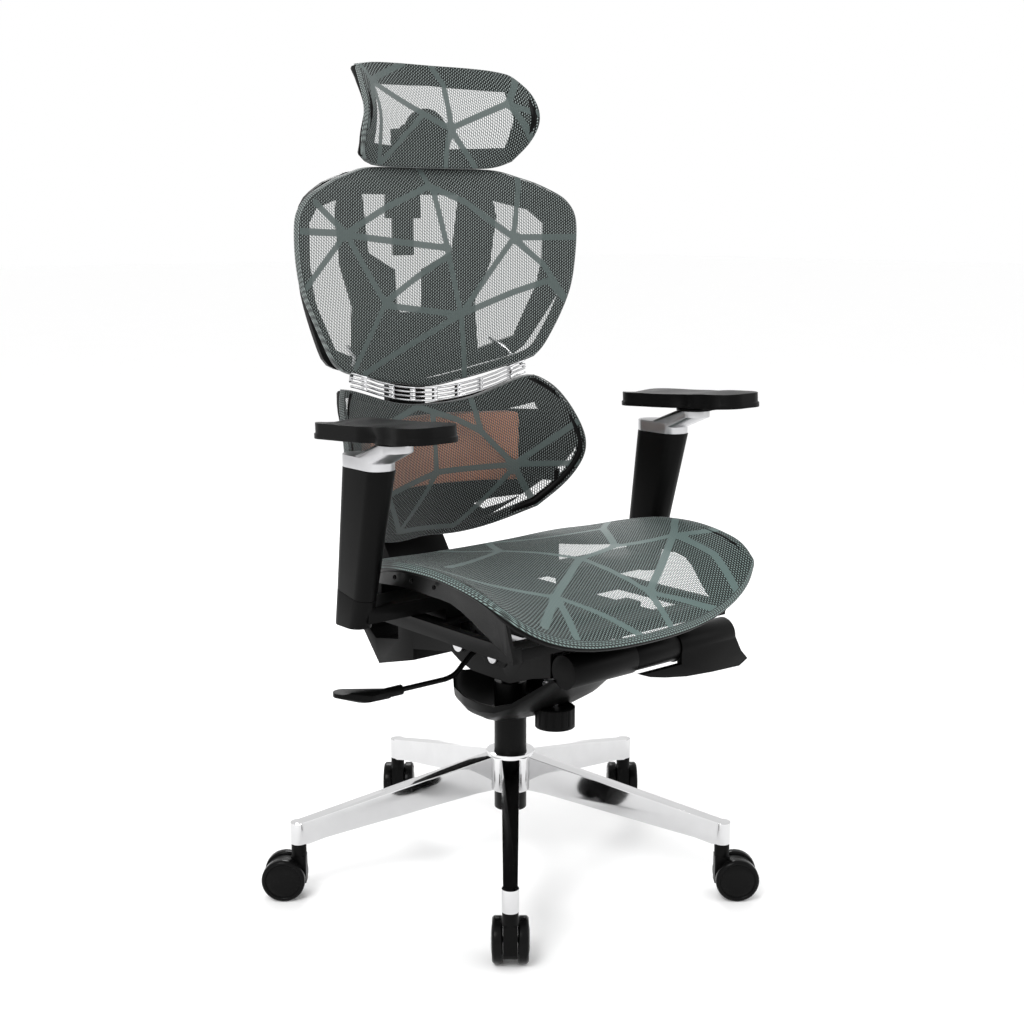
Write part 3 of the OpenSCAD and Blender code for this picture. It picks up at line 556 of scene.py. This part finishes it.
def rear_wall(name):
    """Wall from the rear edge of the seat's sheet down to the under-pan."""
    wall = bare_copy("seat_mesh", name)
    bpy.ops.object.mode_set(mode="EDIT")
    bpy.ops.mesh.select_all(action="SELECT")
    bpy.ops.mesh.remove_doubles(threshold=WELD)
    bpy.ops.mesh.select_all(action="DESELECT")
    bpy.ops.object.mode_set(mode="OBJECT")
    for face in wall.data.polygons:
        face.select = face.normal.z > -0.2
    bpy.ops.object.mode_set(mode="EDIT")
    bpy.ops.mesh.delete(type="FACE")
    bpy.ops.mesh.select_mode(type="EDGE")
    bpy.ops.mesh.select_all(action="DESELECT")
    bpy.ops.object.mode_set(mode="OBJECT")
    used = [key for face in wall.data.polygons for key in face.edge_keys]
    once = {key for key in used if used.count(key) == 1}
    for edge in wall.data.edges:
        ends = [wall.data.vertices[k] for k in edge.vertices]
        rear = (min(v.co.y for v in ends) > REAR_ARC
                and max(abs(v.co.x) for v in ends) < WALL_END)
        if edge.key in once and rear:
            edge.select = True
            for vertex in ends:
                vertex.select = True
    bpy.ops.object.mode_set(mode="EDIT")
    bpy.ops.mesh.extrude_region_move()
    bpy.ops.transform.resize(value=(1, 1, 0), center_override=(0, 0, PAN_TOP))
    bpy.ops.mesh.select_all(action="DESELECT")
    bpy.ops.object.mode_set(mode="OBJECT")
    for face in wall.data.polygons:
        lowest = min(wall.data.vertices[k].co.z for k in face.vertices)
        face.select = lowest > PAN_TOP + 0.001
    bpy.ops.object.mode_set(mode="EDIT")
    bpy.ops.mesh.select_mode(type="FACE")
    bpy.ops.mesh.delete(type="FACE")
    bpy.ops.mesh.select_all(action="SELECT")
    bpy.ops.transform.translate(value=(0, -RIM_INSET, 0))
    bpy.ops.mesh.select_mode(type="VERT")
    bpy.ops.object.mode_set(mode="OBJECT")
    add_modifier(wall, "SOLIDIFY", thickness=WALL_THICKNESS, offset=0)
    only(wall)
    bpy.ops.object.shade_smooth_by_angle(angle=math.radians(35))
    wall.data.materials.append(satin_black)
    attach(wall, frame["nodes"]["seat_frame"]["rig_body"])


rear_wall("seat_shell_rear_wall")


# ---- Upper back ------------------------------------------------------------------------------
# A moulded skeleton curved round the sitter, with the mesh stretched in front of it on its own
# rim; the back bar rises from the mechanism and is screwed to the skeleton.

rounded("back_bar", "back_upright", satin_black, 0.0030, 3)
rounded("back_spine", "back_skeleton", satin_black, 0.0012)
rounded("back_frame", "back_rim", satin_black, 0.0010)
rounded("back_screws", "back_screw_heads", bright_steel, 0.0005)
BACK_WEB = [((-266, 990), (-176, 986)), ((-176, 986), (-237, 1031)), ((-176, 986), (-94, 1025)),
            ((-94, 1025), (-9, 1057)), ((-9, 1057), (-20, 1082)), ((-9, 1057), (58, 1033)),
            ((-176, 986), (-256, 910)), ((-176, 986), (-101, 882)), ((-176, 984), (28, 962)),
            ((-101, 882), (-37, 919)), ((-37, 919), (26, 951)), ((-101, 880), (-160, 787)),
            ((-101, 878), (48, 858)), ((-5, 1055), (26, 951)), ((26, 951), (48, 858)),
            ((48, 858), (64, 752)), ((48, 858), (149, 891)), ((149, 891), (214, 908)),
            ((214, 908), (242, 878)), ((149, 977), (206, 934)), ((206, 934), (246, 878)),
            ((149, 978), (266, 978)), ((149, 978), (160, 1074)), ((149, 978), (58, 1033)),
            ((149, 976), (88, 904)), ((88, 904), (48, 858)), ((48, 858), (-140, 776))]
stretch_panel("back_mesh", "back_panel", (0, -1, 0), back_knit, BACK_WEB, 0.0050)


# ---- Grille ----------------------------------------------------------------------------------
# Four bright plated slats on short posts, which follow the lower edge of the upper back.

def bright_plate():
    finish, surface = start_finish("bright_plate", Metallic=1.0)
    patch = speckle(0.02, 3.0)
    Flow.fill(surface.inputs["Base Color"], patch.tint((0.50, 0.50, 0.51), (0.62, 0.62, 0.63)))
    Flow.fill(surface.inputs["Roughness"], patch * 0.06 + 0.08)
    return finish


rounded("back_grille", "back_grille_slats", bright_plate(), 0.0004, crease=50)


# ---- Lumbar support --------------------------------------------------------------------------
# A separate rocking frame with its own mesh, and a soft pad behind the mesh that shows its
# orange-brown cover through the holes.

rounded("lumbar_frame", "lumbar_rim", satin_black, 0.0010)
rounded("lumbar_pivot_pin", "lumbar_pin", bright_steel, 0.0004)
LUMBAR_WEB = [((66, 724), (75, 671)), ((-37, 718), (36, 692)), ((36, 692), (75, 671)),
              ((-37, 718), (-103, 700)), ((-103, 700), (-186, 712)), ((75, 671), (126, 614)),
              ((126, 614), (224, 681)), ((126, 614), (230, 614)), ((126, 612), (164, 545)),
              ((126, 614), (-14, 613)), ((-14, 613), (-10, 704)), ((-14, 612), (-122, 590)),
              ((-122, 590), (-204, 600)), ((-15, 610), (-71, 520)), ((124, 607), (47, 514)),
              ((47, 514), (-71, 520)), ((-71, 520), (-122, 590)), ((-103, 700), (-122, 590))]
# The lumbar panel takes the knit that is darkened as painted shade.
stretch_panel("lumbar_mesh", "lumbar_panel", (0, -1, 0), shaded_lumbar_knit, LUMBAR_WEB, 0.0048)


def brown_cover():
    finish, surface = start_finish("brown_cover", Roughness=0.85, Sheen_Weight=0.4)
    patch = speckle(0.03, 3.0)
    Flow.fill(surface.inputs["Base Color"], patch.tint((0.62, 0.24, 0.13), (0.86, 0.40, 0.25)))
    dent(surface, speckle(0.0012, 2.0), 0.0003)
    return finish


lumbar_cushion = rounded("lumbar_pad", "lumbar_cushion", brown_cover(), 0.010, 5)


# ---- Headrest --------------------------------------------------------------------------------
# A curved rim with its mesh, on a hinged bracket at the top of a sliding stalk.

rounded("headrest_stalk", "headrest_slide", satin_black, 0.0015)
rounded("headrest_bracket", "headrest_hinge", satin_black, 0.0015)
rounded("headrest_frame", "headrest_rim", satin_black, 0.0010)
HEAD_WEB = [((-143, 1229), (-135, 1205)), ((-135, 1205), (-53, 1236)), ((-135, 1205), (-21, 1164)),
            ((-21, 1164), (-109, 1088)), ((-21, 1164), (30, 1144)), ((1, 1236), (23, 1209)),
            ((23, 1209), (30, 1144)), ((30, 1144), (122, 1184)), ((30, 1144), (22, 1085)),
            ((30, 1144), (78, 1086)), ((122, 1184), (146, 1222)), ((122, 1184), (162, 1168)),
            ((122, 1184), (158, 1128)), ((-135, 1205), (-158, 1140)), ((-109, 1088), (-135, 1205))]
stretch_panel("headrest_mesh", "headrest_panel", (0, -1, 0), head_knit, HEAD_WEB, 0.0046)


# ---- Arms ------------------------------------------------------------------------------------
# A fixed upright on each side of the seat plate, a telescoping black sleeve, a satin die-cast
# bracket that swings on it, a plate that turns on the bracket and a foam pad that slides on it.

def satin_casting():
    finish, surface = start_finish("satin_casting", Metallic=1.0)
    patch = speckle(0.02, 4.0)
    Flow.fill(surface.inputs["Base Color"], patch.tint((0.46, 0.46, 0.47), (0.56, 0.56, 0.57)))
    Flow.fill(surface.inputs["Roughness"], patch * 0.08 + 0.28)
    return finish


SOLID_TOP = 0.746     # top of an arm pad's solid above the floor
PAD_TOP = 0.7405      # top of the softer cushion that is shown
PAD_BOTTOM = 0.719
PAD_X = 0.292         # middle of a pad from the middle plane
PAD_Y = -0.086
WAIST_Y = -0.112      # where a pad is narrowest
PAD_PITCH = math.radians(3.2)    # by which a cushion rises to the front


def push(piece, spot, radius, move):
    """Moves the vertex nearest the spot, and those around it with a smooth falloff."""
    only(piece)
    nearest = min(piece.data.vertices, key=lambda v: (v.co - Vector(spot)).length)
    for item in (*piece.data.vertices, *piece.data.edges, *piece.data.polygons):
        item.select = False
    nearest.select = True
    bpy.ops.object.mode_set(mode="EDIT")
    bpy.ops.mesh.select_mode(type="VERT")
    bpy.ops.transform.translate(value=move, use_proportional_edit=True,
                                proportional_edit_falloff="SMOOTH", proportional_size=radius)
    bpy.ops.object.mode_set(mode="OBJECT")


def arm_cushion(node, name, out):
    """Soft pad with a raised front lobe, a lower rear lobe and a waist between them."""
    pad = copy_of(node, name)
    bpy.ops.object.mode_set(mode="EDIT")
    cuts = [((0, y / 1000, 0), (0, 1, 0)) for y in range(-206, 34, 10)]
    cuts += [((out * (PAD_X + x), 0, 0), (1, 0, 0)) for x in (-0.036, -0.018, 0, 0.018, 0.036)]
    cuts += [((0, 0, z), (0, 0, 1)) for z in (0.7255, 0.7325)]
    for spot, normal in cuts:
        bpy.ops.mesh.select_all(action="SELECT")
        bpy.ops.mesh.bisect(plane_co=spot, plane_no=normal)
    bpy.ops.object.mode_set(mode="OBJECT")
    for face in pad.data.polygons:
        face.select = face.normal.z > 0.9 and face.center.z > 0.74
    bpy.ops.object.mode_set(mode="EDIT")
    bpy.ops.mesh.select_mode(type="FACE")
    bpy.ops.transform.translate(value=(0, 0, PAD_TOP - SOLID_TOP))
    bpy.ops.transform.resize(value=(0.97, 0.985, 1))
    bpy.ops.mesh.select_mode(type="VERT")
    bpy.ops.object.mode_set(mode="OBJECT")
    add_modifier(pad, "BEVEL", width=0.0055, segments=4, limit_method="ANGLE",
                 angle_limit=math.radians(50), use_clamp_overlap=True)
    x = PAD_X * out
    for side in (-1, 1):
        push(pad, (x + side * 0.048, WAIST_Y, 0.731), 0.022, (-side * 0.009, 0, 0))
        push(pad, (x + side * 0.047, -0.160, 0.733), 0.026, (-side * 0.004, 0, 0))
        push(pad, (x + side * 0.047, -0.168, 0.721), 0.030, (side * 0.002, 0, -0.001))
    push(pad, (x, -0.165, PAD_TOP), 0.070, (0, 0, 0.0045))
    push(pad, (x, -0.060, PAD_TOP), 0.060, (0, 0, -0.0025))
    push(pad, (x, 0.020, PAD_TOP), 0.040, (0, 0, -0.0035))
    only(pad)
    bpy.ops.object.mode_set(mode="EDIT")
    bpy.ops.mesh.select_all(action="SELECT")
    bpy.ops.transform.rotate(value=PAD_PITCH, orient_axis="X",
                             center_override=(x, PAD_Y, PAD_BOTTOM))
    bpy.ops.object.mode_set(mode="OBJECT")
    bpy.ops.object.shade_smooth()
    return pad


silver = satin_casting()
pad_skin = moulded_black("pad_skin", (0.0025, 0.0025, 0.0025), 0.34, 0.0012, 0.00015)
for side in ("left", "right"):
    rounded(f"arm_upright_{side}", f"arm_foot_{side}", satin_black, 0.0020, 3)
    rounded(f"arm_post_{side}", f"arm_sleeve_{side}", satin_black, 0.0015, 3)
    rounded(f"arm_bracket_{side}", f"arm_swing_bracket_{side}", silver, 0.0015, 3)
    rounded(f"arm_pad_plate_{side}", f"pad_slide_plate_{side}", satin_black, 0.0010)
    pad = arm_cushion(f"arm_pad_{side}", f"arm_cushion_{side}", 1 if side == "left" else -1)
    fit(pad, pad_skin, f"arm_pad_{side}")
